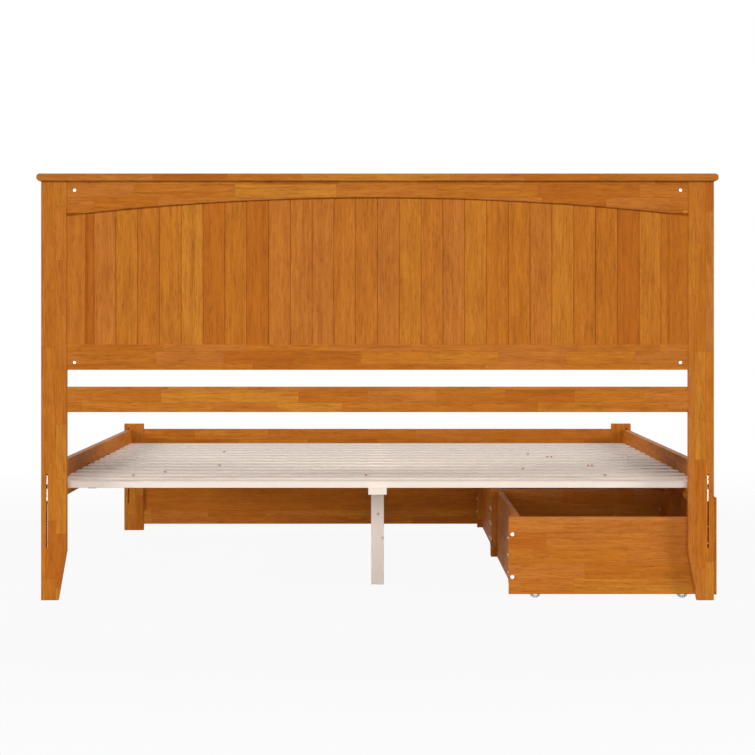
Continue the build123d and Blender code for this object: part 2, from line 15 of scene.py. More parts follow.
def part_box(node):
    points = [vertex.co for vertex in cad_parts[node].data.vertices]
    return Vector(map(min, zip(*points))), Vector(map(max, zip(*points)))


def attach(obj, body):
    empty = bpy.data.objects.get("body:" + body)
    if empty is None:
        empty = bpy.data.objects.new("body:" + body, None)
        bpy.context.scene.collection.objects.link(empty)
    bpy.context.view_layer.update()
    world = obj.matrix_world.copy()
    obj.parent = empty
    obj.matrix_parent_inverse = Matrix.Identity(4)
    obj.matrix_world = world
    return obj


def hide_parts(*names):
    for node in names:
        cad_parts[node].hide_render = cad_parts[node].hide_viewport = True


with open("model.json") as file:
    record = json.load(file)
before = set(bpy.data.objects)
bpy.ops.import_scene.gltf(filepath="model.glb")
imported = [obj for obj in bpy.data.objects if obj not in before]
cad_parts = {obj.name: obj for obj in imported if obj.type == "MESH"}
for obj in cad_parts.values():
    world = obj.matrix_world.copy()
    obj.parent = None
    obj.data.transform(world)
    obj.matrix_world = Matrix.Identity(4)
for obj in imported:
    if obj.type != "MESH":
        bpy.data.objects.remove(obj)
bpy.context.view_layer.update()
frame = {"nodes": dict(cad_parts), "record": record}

bl_info = {
    "name": "Platform bed with drawers",
    "version": (1, 0, 0),
    "blender": (4, 5, 0),
    "location": "View3D > Sidebar > Bed",
    "description": "Finishes and fine pieces for a platform bed with rolling drawers",
    "category": "Object",
}

MM = 0.001
DRAWERS = ("head_drawer", "foot_drawer")

# The arched rail's lower edge is an arc, highest at the middle of the headboard.
ARCH_RADIUS = 8.0
ARCH_CROWN = 1.192  # height of the arc's highest point

# Where knots lie, in millimetres: (x, y) on the slats' tops, and (x, z) on the head leg's headboard side.
SLAT_KNOTS = (
    (-542, -335), (-601, -190), (-615, -190), (-475, 393), (-702, 248), (-715, 248), (-712, 683),
    (563, -480), (527, 248), (679, 538), (764, 683), (36, 683),
)
LEG_KNOTS = ((-2, 221), (-17, 146))

# Staves of the stained wood.
LAYER = 350 * MM  # boards that lie in other layers of this thickness have other staves
LAYER_START = 0.37  # share of a layer by which the layers are moved
WHOLE_RUN = 1000.0  # run between butt joints in whole boards, so long that none shows
WHOLE_WIDTH = 1.0  # wider than a board that is one stave
ROW_SHIFT = 100.0  # staves by which a row may be shifted along itself
STAVE_MOVE = 31.0  # most that a stave's grain is moved in its pattern, so that no two look alike
# Tones of a stave, and where each comes between the darkest, at 0, and the palest, at 1.
STAVE_TONES = ((0.3, "stain_mid"), (0.55, "stain_pink"), (0.75, "stain_mid"))
GLUE_LINE = (0.9 * MM, 0.28)  # half width of the line at a glued joint, and the most it darkens
PLANK_STAIN_AND_SHADE = (1.8 * MM, 0.48)  # the same for the wider line between planks: stain gathered in their grooves, with painted shade of the grooves added
ARCH_SHADE = (4 * MM, 1 * MM, 0.6)  # painted shade below the arched rail: how far below the arc it starts and is full, and the most it darkens

# Streaks in the stained wood: length along and width across the grain, noise detail, the noise where stain
# starts to gather and where it is full, and the most that it darkens.
STREAKS = {
    "band": (700 * MM, 16 * MM, 1.5, 0.36, 0.68, 0.17),
    "fine": (90 * MM, 2.5 * MM, 2.0, 0.4, 0.75, 0.26),
    "pore": (26 * MM, 2.6 * MM, 2.0, 0.5, 0.7, 0.3),
    "cloud": (110 * MM, 30 * MM, 2.0, 0.4, 0.7, 0.16),
}
FIGURE = (450 * MM, 36 * MM)  # length and width of the figure, which is drawn in rings
FIGURE_RINGS = 8.0
FIGURE_DARK = 0.15

# Bare pine. Rings and fibres are given by length along and width across the grain.
PINE_RING = (500 * MM, 20 * MM)
PINE_FIBRE = (200 * MM, 2 * MM)
PINE_RINGS = 11.0
PINE_CELL = 300 * MM  # pieces of pine other than slats share their grain within cells of this width
PINE_RUN = 50.0  # longer than any board, so that a board is one cell along its grain
PINE_MOVE = 23.0  # most that a board's grain is moved in its pattern
# A knot's colours: the reach where each is full and where it ends, in knot radii, and the most of it.
KNOT_COLOURS = (("pine_halo", 0.5, 2.0, 0.4), ("pine_knot", 0.2, 0.8, 0.65))

# Turned and moulded pieces. Shares are of the piece's own radius unless another is named.
PIN_SIDES = 24
PIN_START = math.radians(15)  # where the points round a pin start
PIN_NECK = 0.5  # a bolt's or screw's shank below its head
BOLT_HEAD = 2 / 3  # height of a bolt's head
CROSS_WAIST = 0.4  # inner corners of a cross recess, as a share of its arms
RECESS_FLOOR = 0.8  # a recess's floor, as a share of its mouth
RECESS_MOUTH = 0.55
COUNTERSINK = 0.65  # depth of a countersunk head
SCREW_POINT = 0.1  # a screw's tip, as a share of its neck
PLATE_HEAD = 0.6  # height of a castor plate's screw heads
WHEEL_STEPS = 48
WHEEL_RINGS = (0.34, 0.36, 0.72, 0.75)  # edge of the hub, both edges of the web, and the rim's inner edge
WHEEL_TREAD = 0.15  # rounding of the tread
STRAP_CUTS = 12  # cuts across a strap for each slat
SHARP_ANGLE = math.radians(35)  # edges that turn by more than this stay crisp
SAME_PLACE = 1e-6  # points closer than this are one


def linear(code):
    """A colour written as sRGB hex, in the linear values that shaders take."""
    parts = [int(code[i : i + 2], 16) / 255 for i in (1, 3, 5)]
    return [c / 12.92 if c <= 0.04045 else ((c + 0.055) / 1.055) ** 2.4 for c in parts]


def colour(name, description, code):
    """A colour property with its default written as sRGB hex."""
    return bpy.props.FloatVectorProperty(
        name=name, description=description, default=linear(code), subtype="COLOR", size=3, min=0, max=1
    )


def length(name, description, millimetres):
    """A length property with its default written in millimetres."""
    size = millimetres * MM
    return bpy.props.FloatProperty(name=name, description=description, default=size, unit="LENGTH")


def number(name, description, value):
    """A plain number property."""
    return bpy.props.FloatProperty(name=name, description=description, default=value)


class BedFinish(bpy.types.PropertyGroup):
    """Colours and pattern sizes of the bed's materials."""

    stain_dark: colour("Dark stave", "Darkest staves of the stained hardwood", "#C06B1B")
    stain_mid: colour("Common stave", "Most staves of the stained hardwood", "#CB7A22")
    stain_pink: colour("Pink stave", "Staves that took less of the stain", "#CC7C30")
    stain_light: colour("Golden stave", "Palest staves of the stained hardwood", "#D58B2E")
    # Also the colour of the painted shade below the arched rail and in the grooves between planks.
    stain_and_shade_line: colour("Grain line", "Stain gathered in pores, grain and joints", "#86400C")
    pine_pale: colour("Pine", "Early wood of the bare pine", "#F4E6DA")
    pine_warm: colour("Pine rings", "Late wood of the bare pine", "#E3CCB8")
    pine_halo: colour("Pine halo", "Pink wood round a knot", "#D99C86")
    pine_knot: colour("Pine knots", "Small red-brown knots", "#7E3024")
    plywood: colour("Plywood", "Sanded face of the drawer bottoms", "#C99A62")
    zinc: colour("Zinc", "Plated steel of the fasteners and hooks", "#BFC3C6")
    nylon: colour("Nylon", "Moulded castor wheels", "#E6E6EA")
    strap: colour("Strap", "Woven polyester under the slats", "#4A4A4D")
    branch_long: length("Branch knot length", "A branch knot's radius along a slat", 5)
    branch_wide: length("Branch knot width", "A branch knot's radius across a slat", 20)
    pin_knot: length("Pin knot", "Radius of the small round knots in the legs", 4.5)
    stave_narrow: length("Narrow stave", "Width of a stave in the posts and small parts", 31)
    stave_wide: length("Wide stave", "Width of a stave in the rails", 38)
    stave_drawer: length("Drawer stave", "Width of a stave in the drawers", 46)
    plank_pitch: length("Plank", "Width that each headboard plank covers", 64.6)
    stave_shortest: number("Shortest stave", "Least length between butt joints, in stave widths", 4.8)
    stave_longest: number("Longest stave", "Greatest length between butt joints, in stave widths", 10.5)


class BedHardware(bpy.types.PropertyGroup):
    """Sizes of the pieces that are modelled again here."""

    key_size: length("Key", "Across the flats of a hexagon socket", 4)
    socket_depth: length("Socket depth", "Depth of sockets and cross recesses", 2)
    edge_round: length("Edge round", "Eased rim of a head", 0.8)
    sunk_edge: length("Countersunk edge", "Eased rim of a countersunk head", 0.2)
    pan_height: length("Pan head", "Height of the drawer screws' heads", 2.4)
    plate_screw: length("Plate screw", "Radius of a castor plate's screw heads", 3.2)
    plate_recess: length("Plate screw recess", "Depth of the recess in a plate's screw heads", 1)
    plate_margin: length("Plate margin", "From a plate's screw heads to its ends", 1)
    plate_thickness: length("Plate thickness", "Thickness of a castor's plate", 2)
    axle_bore: length("Axle bore", "Radius of a wheel's bore", 3.05)
    wheel_web: length("Wheel web", "Hollow in each side of a wheel", 3)
    strap_sag: length("Strap sag", "How far a strap hangs between two slats", 1.2)
    strap_thickness: length("Strap thickness", "Thickness of the webbing", 1.3)
    staple_width: length("Staple", "Width of a staple's crown", 11)
    staple_wire: length("Staple wire", "Width of a staple's flat wire", 1.2)
    staple_height: length("Staple height", "How far a staple stands off its strap", 0.8)
    staple_round: length("Staple round", "Rounding of a staple's edges", 0.25)


class BedStage(bpy.types.PropertyGroup):
    """Camera, lamps and floor."""

    camera_distance: length("Camera distance", "From the posts' back faces to the camera", 6331)
    camera_height: length("Camera height", "Height of the level camera", 838.5)
    lens: number("Lens", "Focal length on a 36 mm sensor", 102.0)
    shift: number("Shift", "Lowers a level view", -0.0801)
    sky: number("Sky", "Strength of the even light", 0.1)
    side: number("Side lamps", "Strength of each side lamp", 1.74)
    front: number("Front lamp", "Strength of the low lamp beyond the headboard", 1.12)
    back: number("Back lamp", "Strength of the lamp beyond the footboard", 0.62)
    soft: bpy.props.FloatProperty(
        name="Lamp width", description="Angle that a lamp covers", default=math.radians(18), unit="ROTATION"
    )
    floor: colour("Floor", "Plain floor as light falls on it and bounces off", "#A8A8A8")
    floor_white: number("Floor white", "Share of plain white in the floor as seen", 0.93)
    floor_reach: length("Floor reach", "From the bed's middle to the floor's edges", 9000)
    fade_start: length("Fade start", "From the bed's middle to where the floor starts to fade out", 2200)
    fade_end: length("Fade end", "From the bed's middle to where the floor is gone", 5000)


GROUPS = {"bed_finish": BedFinish, "bed_hardware": BedHardware, "bed_stage": BedStage}
CLASSES = list(GROUPS.values())


def listed(made):
    """Adds an operator or the panel to the classes that are registered, in order."""
    CLASSES.append(made)
    return made


def operators():
    """The operators, in the order that their pieces are made."""
    return [made for made in CLASSES if issubclass(made, bpy.types.Operator)]


MATH = "ShaderNodeMath"
VECTOR = "ShaderNodeVectorMath"
RANGE = "ShaderNodeMapRange"
RAMP = "ShaderNodeValToRGB"
MIX = "ShaderNodeMix"
NOISE = "ShaderNodeTexNoise"
DICE = "ShaderNodeTexWhiteNoise"
BUMP = "ShaderNodeBump"


def feed(tree, node, inputs):
    """Sets a node's inputs to plain values, or links them to sockets or to other nodes' first outputs."""
    for key, value in inputs.items():
        if isinstance(value, bpy.types.Node):
            value = value.outputs[0]
        if isinstance(value, bpy.types.NodeSocket):
            tree.links.new(value, node.inputs[key])
        else:
            node.inputs[key].default_value = value


def add(tree, kind, inputs=None, **settings):
    """Adds one node, with its settings, and with its inputs linked or set."""
    made = tree.nodes.new(kind)
    for key, value in settings.items():
        setattr(made, key, value)
    feed(tree, made, inputs or {})
    return made


def new_material(name, **even):
    """A material with one Principled shader, whose even values are set on its sockets.

    Gives the material, its node tree, the shader and the object's coordinates.
    """
    material = bpy.data.materials.new(name)
    material.use_nodes = True
    tree = material.node_tree
    shader = tree.nodes["Principled BSDF"]
    feed(tree, shader, {key.replace("_", " "): value for key, value in even.items()})
    return material, tree, shader, add(tree, "ShaderNodeTexCoord").outputs["Object"]


def opaque(rgb):
    """A colour with full alpha."""
    return [*rgb, 1.0]


def stretch(along, run, across):
    """Scale factors of a pattern that runs so long along one axis and so wide across it, in metres."""
    return [1 / run if axis == along else 1 / across for axis in "XYZ"]


def grain(tree, place, along, size, moved, **inputs):
    """Noise drawn out along the grain, to a length and a width, and moved to another part of the pattern."""
    scaled = add(tree, VECTOR, {0: place, 1: stretch(along, *size), 2: moved}, operation="MULTIPLY_ADD")
    return add(tree, NOISE, {"Vector": scaled, "Scale": 1.0, **inputs})


def staves(tree, place, along, across, stave, seed, whole):
    """Parts a board into staves: gives each stave's dice, and how dark the joints round it are, with painted
    shade added in the grooves between planks.
    """
    finish = bpy.context.scene.bed_finish
    axes = add(tree, "ShaderNodeSeparateXYZ", {0: place}).outputs
    third = next(axis for axis in "XYZ" if axis not in (along, across))
    rows = add(tree, MATH, {0: axes[across], 1: 1 / stave, 2: seed}, operation="MULTIPLY_ADD")
    row = add(tree, MATH, {0: rows}, operation="FLOOR")
    layers = add(tree, MATH, {0: axes[third], 1: 1 / LAYER, 2: LAYER_START}, operation="MULTIPLY_ADD")
    layer = add(tree, MATH, {0: layers}, operation="FLOOR")
    row_seed = add(tree, "ShaderNodeCombineXYZ", {0: row, 1: layer, 2: seed})
    row_dice = add(tree, DICE, {"Vector": row_seed}, noise_dimensions="3D").outputs["Value"]
    shortest = WHOLE_RUN if whole else finish.stave_shortest * stave
    longest = WHOLE_RUN if whole else finish.stave_longest * stave
    per_metre = add(tree, RANGE, {"Value": row_dice, "To Min": 1 / longest, "To Max": 1 / shortest})
    # Each row starts at its own point, so that butt joints in neighbouring rows don't line up.
    start = add(tree, MATH, {0: row_dice, 1: ROW_SHIFT, 2: 0.5}, operation="MULTIPLY_ADD")
    run = add(tree, MATH, {0: axes[along], 1: per_metre, 2: start}, operation="MULTIPLY_ADD")
    piece = add(tree, MATH, {0: run}, operation="FLOOR")
    dice = add(tree, DICE, {"Vector": row_seed, "W": piece}, noise_dimensions="4D")

    # A joint is where a count of staves is whole, so the way to it goes up and down over half a stave.
    end_gap = add(tree, MATH, {0: run, 1: 0.5}, operation="PINGPONG")
    end_gap = add(tree, MATH, {0: end_gap, 1: per_metre}, operation="DIVIDE")
    side_gap = add(tree, MATH, {0: rows, 1: 0.5}, operation="PINGPONG")
    side_gap = add(tree, MATH, {0: side_gap, 1: stave}, operation="MULTIPLY")
    joints = []
    # Between planks the line is stain in the groove with painted shade of the groove added.
    for gap, (wide, most) in ((end_gap, GLUE_LINE), (side_gap, PLANK_STAIN_AND_SHADE if whole else GLUE_LINE)):
        joints.append(add(tree, RANGE, {"Value": gap, "From Max": wide, "To Min": most, "To Max": 0.0}))
    return dice, joints


def painted_arch_shade(tree, place):
    """How dark the painted shade is in a line just below the arched rail, where the recessed boards meet it.
    """
    start, full, most = ARCH_SHADE
    centre = ARCH_CROWN - ARCH_RADIUS
    flat = add(tree, VECTOR, {0: place, 1: [1, 0, 1], 2: [0, 0, -centre]}, operation="MULTIPLY_ADD")
    reach = add(tree, VECTOR, {0: flat}, operation="LENGTH").outputs["Value"]
    ends = {"From Min": ARCH_RADIUS - start, "From Max": ARCH_RADIUS - full, "To Max": most}
    return add(tree, RANGE, {"Value": reach, **ends})


# Stained rubberwood: short staves glued edge to edge and end to end, stained caramel and lacquered satin.
# The eye sees blocks of slightly different browns, fine streaks along each stave and a soft sheen.
def stained_rubberwood(name, along, across, stave, seed, whole=False, arched=False):
    """Staves lie along one axis and side by side across another. Whole ones have no butt joints.

    Arched boards get a line of painted shade where they meet the arched rail, just below it.
    """
    finish = bpy.context.scene.bed_finish
    material, tree, shader, place = new_material(name, IOR=1.5, Specular_IOR_Level=0.07)
    dice, joints = staves(tree, place, along, across, stave, seed, whole)
    tone = add(tree, RAMP, {0: dice.outputs["Value"]})
    tone.color_ramp.elements[0].color = opaque(finish.stain_dark)
    tone.color_ramp.elements[1].color = opaque(finish.stain_light)
    for at, shade in STAVE_TONES:
        tone.color_ramp.elements.new(at).color = opaque(getattr(finish, shade))

    moved = add(tree, VECTOR, {0: dice.outputs["Color"], 3: STAVE_MOVE}, operation="SCALE")
    rough_noise = {"Roughness": 0.6, "Distortion": 0.3}
    figure = grain(tree, place, along, FIGURE, moved, Detail=2.0, **rough_noise)
    rings = add(tree, MATH, {0: figure, 1: FIGURE_RINGS}, operation="MULTIPLY")
    ring = add(tree, MATH, {0: rings, 1: 0.5}, operation="PINGPONG")
    shades = [add(tree, RANGE, {"Value": ring, "From Max": 0.5, "To Min": FIGURE_DARK, "To Max": 0.0})]
    streaks = {}
    for label, (long, wide, detail, start, full, most) in STREAKS.items():
        streaks[label] = grain(tree, place, along, (long, wide), moved, Detail=detail, **rough_noise)
        ends = {"From Min": start, "From Max": full, "To Max": most}
        shades.append(add(tree, RANGE, {"Value": streaks[label], **ends}))
    shades += joints
    # Painted shade: a dark line just below the arched rail, where the boards sit recessed under it.
    if arched:
        shades.append(painted_arch_shade(tree, place))
    dark = shades[0]
    for shade in shades[1:]:
        dark = add(tree, MATH, {0: dark, 1: shade}, operation="ADD", use_clamp=True)

    # Grain, joints and the painted shade lines all darken towards this one colour.
    mixed = add(tree, MIX, {0: dark, 6: tone, 7: opaque(finish.stain_and_shade_line)}, data_type="RGBA")
    rough = add(tree, RANGE, {"Value": streaks["fine"], "To Min": 0.5, "To Max": 0.66})
    height = add(tree, MATH, {0: dark, 1: -1.0}, operation="MULTIPLY")
    bump = add(tree, BUMP, {"Strength": 0.2, "Distance": 0.4 * MM, "Height": height})
    feed(tree, shader, {"Base Color": mixed.outputs[2], "Roughness": rough, "Normal": bump})
    return material


# Bare pine: planed boards, which give the eye pale early wood, warmer late-wood lines along each board and a
# few small knots.
def planed_pine(name, along, board, seed, knots=(), knot=None):
    """Boards are told apart by their width across the grain.

    Knots are points on the boards, and a knot's size is its radii along and across the board.
    """
    finish = bpy.context.scene.bed_finish
    material, tree, shader, place = new_material(name, IOR=1.45, Specular_IOR_Level=0.2, Roughness=0.62)
    factors = stretch(along, PINE_RUN, board)
    boards = add(tree, VECTOR, {0: place, 1: factors, 2: [seed] * 3}, operation="MULTIPLY_ADD")
    whole = add(tree, VECTOR, {0: boards}, operation="FLOOR")
    dice = add(tree, DICE, {"Vector": whole}, noise_dimensions="3D")
    moved = add(tree, VECTOR, {0: dice.outputs["Color"], 3: PINE_MOVE}, operation="SCALE")
    figure = grain(tree, place, along, PINE_RING, moved, Detail=2.0, Distortion=0.4)
    fibre = grain(tree, place, along, PINE_FIBRE, moved, Detail=2.0, Distortion=0.4)
    rings = add(tree, MATH, {0: figure, 1: PINE_RINGS}, operation="MULTIPLY")
    ring = add(tree, MATH, {0: rings, 1: 0.5}, operation="PINGPONG")
    ring_part = add(tree, RANGE, {"Value": ring, "From Max": 0.5, "To Min": 0.4, "To Max": 0.1})
    warm = add(tree, MATH, {0: fibre, 1: ring_part}, operation="MULTIPLY")
    pale, late = opaque(finish.pine_pale), opaque(finish.pine_warm)
    wood = add(tree, MIX, {0: warm, 6: pale, 7: late}, data_type="RGBA").outputs[2]
    for spot in knots:
        apart = add(tree, VECTOR, {0: place, 1: list(spot)}, operation="SUBTRACT")
        apart = add(tree, VECTOR, {0: apart, 1: stretch(along, *knot)}, operation="MULTIPLY")
        reach = add(tree, VECTOR, {0: apart}, operation="LENGTH").outputs["Value"]
        for tint, full, none, most in KNOT_COLOURS:
            ends = {"From Min": full, "From Max": none, "To Min": most, "To Max": 0.0}
            part = add(tree, RANGE, {"Value": reach, **ends})
            inputs = {0: part, 6: wood, 7: opaque(getattr(finish, tint))}
            wood = add(tree, MIX, inputs, data_type="RGBA").outputs[2]
    bump = add(tree, BUMP, {"Strength": 0.05, "Distance": 0.3 * MM, "Height": warm})
    feed(tree, shader, {"Base Color": wood, "Normal": bump})
    return material


# Thin plywood: a rotary-cut face veneer, sanded, which gives the eye a long wavering figure in two browns.
def sanded_plywood(name):
    finish = bpy.context.scene.bed_finish
    material, tree, shader, place = new_material(name, IOR=1.45, Roughness=0.6)
    figure = grain(tree, place, "Y", (600 * MM, 30 * MM), (0, 0, 0), Detail=4.0, Distortion=0.8)
    shade = add(tree, RAMP, {0: figure})
    for element, bright in zip(shade.color_ramp.elements, (0.72, 1.25)):
        element.color = opaque([min(1, c * bright) for c in finish.plywood])
    bump = add(tree, BUMP, {"Strength": 0.15, "Distance": 0.3 * MM, "Height": figure})
    feed(tree, shader, {"Base Color": shade, "Normal": bump})
    return material


# Zinc-plated steel: bright and slightly cloudy, from the plating bath.
def zinc_plate(name):
    finish = bpy.context.scene.bed_finish
    material, tree, shader, place = new_material(name, Base_Color=opaque(finish.zinc), Metallic=1.0)
    cloud = add(tree, NOISE, {"Vector": place, "Scale": 1 / (4 * MM), "Detail": 3.0})
    feed(tree, shader, {"Roughness": add(tree, RANGE, {"Value": cloud, "To Min": 0.28, "To Max": 0.52})})
    return material


# Moulded nylon: waxy pale grey that lets a little light in, with a fine moulded texture.
def moulded_nylon(name):
    finish = bpy.context.scene.bed_finish
    material, tree, shader, place = new_material(
        name,
        Base_Color=opaque(finish.nylon),
        IOR=1.53,
        Roughness=0.42,
        Subsurface_Weight=0.15,
        Subsurface_Scale=3 * MM,
    )
    texture = add(tree, NOISE, {"Vector": place, "Scale": 1 / (0.7 * MM), "Detail": 2.0})
    bump = add(tree, BUMP, {"Strength": 0.12, "Distance": 0.1 * MM, "Height": texture})
    feed(tree, shader, {"Normal": bump})
    return material


# Woven polyester webbing: a plain weave, which gives the eye small checks of dark grey yarn. It is drawn as
# coarse as 1.6 mm so that it shows.
def polyester_webbing(name):
    finish = bpy.context.scene.bed_finish
    material, tree, shader, place = new_material(name, IOR=1.5, Roughness=0.75, Sheen_Weight=0.2)
    axes = add(tree, "ShaderNodeSeparateXYZ", {0: place}).outputs
    yarns = []
    for axis in "XY":
        turns = add(tree, MATH, {0: axes[axis], 1: 2 * math.pi / (1.6 * MM)}, operation="MULTIPLY")
        yarns.append(add(tree, MATH, {0: turns}, operation="SINE"))
    weave = add(tree, MATH, {0: yarns[0], 1: yarns[1]}, operation="MULTIPLY")
    shade = add(tree, RANGE, {"Value": weave, "From Min": -1.0, "To Min": 0.6, "To Max": 1.25})
    tinted = add(tree, VECTOR, {0: list(finish.strap), 3: shade}, operation="SCALE")
    bump = add(tree, BUMP, {"Strength": 0.5, "Distance": 0.3 * MM, "Height": weave})
    feed(tree, shader, {"Base Color": tinted, "Normal": bump})
    return material


def seen_directly(tree):
    """1 where the camera sees something itself, or in a mirror or glass, and 0 for light on the bed."""
    path = add(tree, "ShaderNodeLightPath").outputs
    seen = path["Is Camera Ray"]
    for other in ("Is Glossy Ray", "Is Transmission Ray"):
        seen = add(tree, MATH, {0: seen, 1: path[other]}, operation="MAXIMUM").outputs[0]
    return seen


# Matt studio floor: plain and almost white to the eye, with the bed's faint shadow, and gone at a distance.
def matt_studio_floor(name):
    stage = bpy.context.scene.bed_stage
    material, tree, shader, place = new_material(name, Roughness=0.9, Base_Color=opaque(stage.floor))
    reach = add(tree, VECTOR, {0: place}, operation="LENGTH").outputs["Value"]
    fade = add(tree, RANGE, {"Value": reach, "From Min": stage.fade_start, "From Max": stage.fade_end})
    white = add(tree, "ShaderNodeEmission")
    share = add(tree, MATH, {0: seen_directly(tree), 1: stage.floor_white}, operation="MULTIPLY")
    bright = add(tree, "ShaderNodeMixShader", {0: share, 1: shader, 2: white})
    clear = add(tree, "ShaderNodeBsdfTransparent")
    mixed = add(tree, "ShaderNodeMixShader", {0: fade, 1: bright, 2: clear})
    feed(tree, tree.nodes["Material Output"], {"Surface": mixed})
    return material


def finish_nodes(material, names):
    """Gives CAD pieces a finish in place of their plain colour."""
    for name in names:
        piece = frame["nodes"][name]
        piece.data.materials.clear()
        piece.data.materials.append(material)


def body_of(node):
    """The name of the body that a CAD node belongs to."""
    bodies = frame["record"]["behaviour"]["bodies"]
    return next(name for name, nodes in bodies.items() if node in nodes)


def new_object(name, bm, material):
    """Makes a bmesh an object with one material."""
    mesh = bpy.data.meshes.new(name)
    bm.to_mesh(mesh)
    bm.free()
    mesh.materials.append(material)
    made = bpy.data.objects.new(name, mesh)
    bpy.context.scene.collection.objects.link(made)
    return made


def new_piece(name, bm, body, slot, material, *nodes):
    """Makes a bmesh a finished piece that rides a body and may stand for CAD nodes."""
    bmesh.ops.recalc_face_normals(bm, faces=bm.faces)
    piece = new_object(name, bm, material)
    piece.data.shade_smooth()
    piece.data.set_sharp_from_angle(angle=SHARP_ANGLE)
    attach(piece, body)
    if nodes:
        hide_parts(*nodes)


def zinc_piece(name, bm, body, *nodes):
    """Makes a bmesh a finished piece in the zinc plate of the hooks."""
    new_piece(name, bm, body, "zinc_steel", bpy.data.materials["zinc_plate"], *nodes)


def islands(node):
    """The lowest and highest corner of each separate solid of a CAD node."""
    bm = bmesh.new()
    bm.from_mesh(frame["nodes"][node].data)
    bmesh.ops.remove_doubles(bm, verts=bm.verts, dist=SAME_PLACE)
    boxes, left = [], set(bm.verts)
    while left:
        group, reached = [], [left.pop()]
        while reached:
            vert = reached.pop()
            group.append(vert.co.copy())
            for near in (link.other_vert(vert) for link in vert.link_edges):
                if near in left:
                    left.remove(near)
                    reached.append(near)
        boxes.append([Vector(pick(c[i] for c in group) for i in range(3)) for pick in (min, max)])
    bm.free()
    return sorted(boxes, key=lambda b: tuple(round(c, 4) for c in b[0]))


def aim(point, way):
    """The matrix that puts a piece made along +Z at a point, with its +Z along a way."""
    turn = Vector((0, 0, 1)).rotation_difference(Vector(way))
    return Matrix.Translation(point) @ turn.to_matrix().to_4x4()


def long_axis(low, high):
    """The number of the axis that a box is longest along."""
    size = high - low
    return max(range(3), key=lambda i: size[i])


def seat(low, high, axis, sign):
    """A pin's matrix at its head's face, its radius and its length, from its box and the way it faces."""
    size = high - low
    way = Vector((0, 0, 0))
    way[axis] = sign
    face = (low + high) / 2 + way * size[axis] / 2
    return aim(face, way), min(size) / 2, size[axis]


def outline(kind, radius, height):
    """The points of a round loop, a hexagon or a cross with four arms, all alike in count and start."""
    corners = {"round": PIN_SIDES, "hexagon": 6, "cross": 12}[kind]
    points = []
    for corner in range(corners):
        turn = PIN_START + 2 * math.pi * corner / corners
        reach = radius * CROSS_WAIST if kind == "cross" and corner % 3 == 1 else radius
        points.append(Vector((reach * math.cos(turn), reach * math.sin(turn), height)))
    parts = PIN_SIDES // corners
    pairs = zip(points, points[1:] + points[:1])
    return [start.lerp(end, part / parts) for start, end in pairs for part in range(parts)]


def headed_pin(bm, matrix, kind, recess, depth, radius, edge, shank):
    """Adds a turned pin to bm at a matrix, with its head's face at height 0.

    The kind is that of the recess in the head, which has a radius and a depth. The head has a radius and an
    eased edge, and the shank is given in (radius, height) steps.
    """
    loops = [outline(kind, recess * RECESS_FLOOR, -depth), outline(kind, recess, 0)]
    steps = ((radius - edge, 0), (radius, -edge), *shank)
    loops += [outline("round", *step) for step in steps]
    # Loops are joined point to point, because bridge_loops joins some of them askew.
    rows = [[bm.verts.new(matrix @ point) for point in loop] for loop in loops]
    for low, high in zip(rows, rows[1:]):
        for i in range(PIN_SIDES):
            bm.faces.new((low[i - 1], low[i], high[i], high[i - 1]))
    for row in (rows[0], rows[-1]):
        bm.faces.new(row)


def block(bm, centre, size):
    """Adds a box to bm, and gives its edges."""
    placed = Matrix.Translation(centre) @ Matrix.Diagonal((*size, 1))
    made = bmesh.ops.create_cube(bm, matrix=placed)
    return list(dict.fromkeys(edge for vert in made["verts"] for edge in vert.link_edges))


@listed
class BED_OT_hardwood(bpy.types.Operator):
    """Finish the stained boards, with their staves along each board"""

    bl_idname = "bed.hardwood"
    bl_label = "Stained boards"

    def execute(self, context):
        finish = context.scene.bed_finish
        narrow, wide, drawer_wide = finish.stave_narrow, finish.stave_wide, finish.stave_drawer
        upright = [f"{end}board_{side}_post" for end in ("head", "foot") for side in ("left", "right")]
        across = ["headboard_arched_rail", "headboard_lower_rail", "headboard_crossbar"]
        across += ["footboard_top_rail", "footboard_bottom_rail"]
        endways = ["left_side_rail", "right_side_rail", "left_slat_ledger", "right_slat_ledger"]
        sides = [f"{drawer}_{end}_side" for drawer in DRAWERS for end in ("head", "foot")]
        fronts = [f"{drawer}_{end}" for drawer in DRAWERS for end in ("front", "back")]
        blocks = [f"{drawer}_corner_blocks" for drawer in DRAWERS]
        # Each row: a name, the axes along and across the staves, their width, a seed, and the boards.
        boards = (
            ("upright", "Z", "X", narrow, 0.3, upright),
            ("across", "X", "Z", wide, 0.6, across),
            ("endways", "Y", "Z", wide, 0.2, endways),
            ("drawer_sides", "X", "Z", drawer_wide, 0.7, sides),
            ("drawer_fronts", "Y", "Z", drawer_wide, 0.4, fronts),
            ("cap", "X", "Y", narrow, 0.7, ["headboard_cap"]),
            ("blocks", "Z", "Y", narrow, 0.1, blocks),
        )
        for name, *layout, nodes in boards:
            finish_nodes(stained_rubberwood(f"stained_rubberwood_{name}", *layout), nodes)
        return {"FINISHED"}


@listed
class BED_OT_whole_boards(bpy.types.Operator):
    """Finish the boards that are one stave each: the headboard's stiles and the footboard's panel"""

    bl_idname = "bed.whole_boards"
    bl_label = "Whole boards"

    def execute(self, context):
        layout = ("Z", "X", WHOLE_WIDTH, 0.3)
        # The stiles also get the painted shade line below the arched rail.
        stiles = stained_rubberwood("stained_rubberwood_stiles", *layout, whole=True, arched=True)
        finish_nodes(stiles, ["headboard_left_stile", "headboard_right_stile"])
        layout = ("X", "Z", WHOLE_WIDTH, 0.2)
        panel = stained_rubberwood("stained_rubberwood_panel", *layout, whole=True)
        finish_nodes(panel, ["footboard_panel"])
        return {"FINISHED"}


